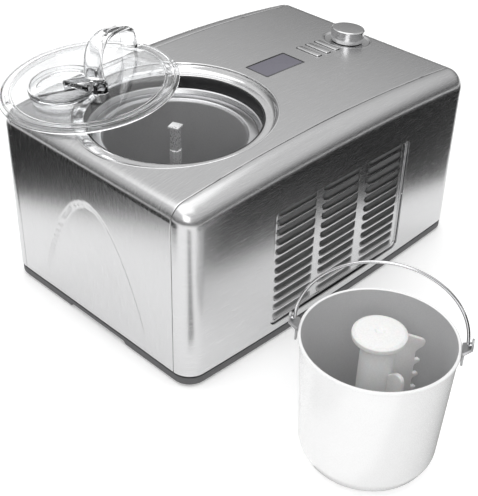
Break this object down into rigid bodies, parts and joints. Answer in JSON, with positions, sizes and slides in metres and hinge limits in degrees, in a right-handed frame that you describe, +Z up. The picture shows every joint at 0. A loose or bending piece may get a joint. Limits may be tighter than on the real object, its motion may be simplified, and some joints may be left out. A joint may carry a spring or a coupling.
{
  "type": "ice cream maker",
  "caption": "Countertop compressor ice cream maker in brushed steel with a round well and drive shaft, clear lid laid on top, and a white bowl with bail handle and toothed paddle beside it.",
  "frame": {"origin": "middle of the whole set's footprint, on the table it stands on", "axes": "+Z up, -Y towards the user's side with the long louvred face, +X towards the control knob's end"},
  "size_m": [0.4324, 0.569, 0.2702],
  "materials": {
    "brushed_steel": "brushed stainless sheet, satin",
    "bright_steel": "bright rolled stainless",
    "turned_steel": "turned and radially brushed",
    "bright_wire": "bright drawn wire",
    "well_metal": "satin grey coated aluminium",
    "copper_pipe": "drawn copper, dulled",
    "bronze": "sintered bronze",
    "fin_metal": "rolled fins",
    "galvanised": "galvanised sheet, dull",
    "black_plastic": "fine textured black moulding",
    "plinth_plastic": "dark grey textured moulding",
    "grey_plastic": "light grey moulding",
    "gear_plastic": "natural acetal",
    "white_plastic": "white satin moulding",
    "clear_plastic": "clear polished moulding",
    "smoked_window": "smoked display window",
    "white_coat": "white enamel outside, grey non-stick inside",
    "black_enamel": "black enamelled steel",
    "rubber": "matt moulded rubber",
    "foam": "foamed polyurethane",
    "circuit_board": "lacquered circuit board"
  },
  "bodies": {
    "machine": {"base_tray": "plinth_plastic", "foot_front_left": "rubber", "foot_front_right": "rubber", "foot_back_left": "rubber", "foot_back_right": "rubber", "top_cover": "brushed_steel", "front_shell": "brushed_steel", "back_shell": "brushed_steel", "front_grille": "brushed_steel", "rear_grille": "brushed_steel", "cord_gland": "black_plastic", "rim_ring": "bright_steel", "collar_ring": "black_plastic", "seat_ring": "grey_plastic", "evaporator_can": "well_metal", "evaporator_coil": "copper_pipe", "insulation_jacket": "foam", "cavity_bracket": "galvanised", "shaft_seal": "rubber", "shaft_bearing_upper": "bronze", "idler_pin": "galvanised", "shaft_bearing_lower": "bronze", "gearbox_case": "black_plastic", "gearbox_lid": "black_plastic", "drive_motor": "galvanised", "compressor": "black_enamel", "compressor_mount_front_left": "rubber", "compressor_mount_front_right": "rubber", "compressor_mount_back_left": "rubber", "compressor_mount_back_right": "rubber", "condenser": "fin_metal", "fan_shroud": "black_plastic", "fan_motor": "black_plastic", "liquid_line": "copper_pipe", "discharge_pipe": "copper_pipe", "suction_pipe": "copper_pipe", "display_window": "smoked_window", "display_module": "black_plastic", "dial_dish": "brushed_steel", "knob_encoder": "black_plastic", "control_board": "circuit_board"},
    "drive_shaft": {"drive_shaft": "bright_steel", "drive_gear": "gear_plastic"},
    "idler": {"idler_gear": "gear_plastic"},
    "motor_rotor": {"motor_pinion": "galvanised"},
    "fan": {"condenser_fan": "black_plastic"},
    "knob": {"control_knob": "turned_steel"},
    "button_1": {"button_1": "brushed_steel"},
    "button_2": {"button_2": "brushed_steel"},
    "button_3": {"button_3": "brushed_steel"},
    "lid": {"lid": "clear_plastic", "lid_handle": "clear_plastic"},
    "refill_cap": {"refill_cap": "clear_plastic"},
    "bowl": {"bowl": "white_coat", "bail_lug_front": "bright_wire", "bail_lug_back": "bright_wire"},
    "bail": {"bail": "bright_wire"},
    "paddle_bush": {"paddle_bush": "grey_plastic"},
    "paddle": {"paddle": "white_plastic", "paddle_cap": "white_plastic"}
  },
  "joints": [
    {"name": "shaft_spin", "type": "hinge", "parent": "machine", "child": "drive_shaft", "pos_m": [-0.09328, 0.09064, 0.1], "axis": [0, 0, 1], "continuous": true},
    {"name": "idler_spin", "type": "hinge", "parent": "machine", "child": "idler", "pos_m": [-0.01528, 0.09064, 0.018], "axis": [0, 0, 1], "continuous": true},
    {"name": "motor_spin", "type": "hinge", "parent": "machine", "child": "motor_rotor", "pos_m": [0.02972, 0.09064, 0.018], "axis": [0, 0, 1], "continuous": true},
    {"name": "fan_spin", "type": "hinge", "parent": "machine", "child": "fan", "pos_m": [0.06472, -0.01436, 0.078], "axis": [0, -1, 0], "continuous": true},
    {"name": "knob_turn", "type": "hinge", "parent": "machine", "child": "knob", "pos_m": [0.17322, 0.09064, 0.20703], "axis": [0.089, 0, 0.996], "continuous": true},
    {"name": "button_1_press", "type": "slide", "parent": "machine", "child": "button_1", "axis": [0, 0, -1], "range_m": [0, 0.001], "stiffness_N_per_m": 300, "springref_m": -0.0008},
    {"name": "button_2_press", "type": "slide", "parent": "machine", "child": "button_2", "axis": [0, 0, -1], "range_m": [0, 0.001], "stiffness_N_per_m": 300, "springref_m": -0.0008},
    {"name": "button_3_press", "type": "slide", "parent": "machine", "child": "button_3", "axis": [0, 0, -1], "range_m": [0, 0.001], "stiffness_N_per_m": 300, "springref_m": -0.0008},
    {"name": "lid_lift", "type": "slide", "parent": "machine", "child": "lid", "axis": [0, 0, 1], "range_m": [0, 0.15]},
    {"name": "refill_cap_turn", "type": "hinge", "parent": "lid", "child": "refill_cap", "pos_m": [-0.14679, 0.19923, 0.21646], "axis": [-0.1093, 0.0199, 0.9938], "range_deg": [0, 180]},
    {"name": "bowl_lift", "type": "slide", "parent": "machine", "child": "bowl", "axis": [0, 0, 1], "range_m": [0, 0.3]},
    {"name": "bail_swing", "type": "hinge", "parent": "bowl", "child": "bail", "pos_m": [-0.14208, -0.21536, 0.14], "axis": [0.5344, -0.8453, 0], "range_deg": [-95, 95]},
    {"name": "paddle_lift", "type": "slide", "parent": "bowl", "child": "paddle_bush", "axis": [0, 0, 1], "range_m": [0, 0.06]},
    {"name": "paddle_spin", "type": "hinge", "parent": "paddle_bush", "child": "paddle", "pos_m": [-0.14208, -0.21536, 0.07], "axis": [0, 0, 1], "continuous": true}
  ],
  "couplings": [
    {"joint": "idler_spin", "follows": "shaft_spin", "ratio": -1.3636},
    {"joint": "motor_spin", "follows": "shaft_spin", "ratio": 3.75}
  ]
}
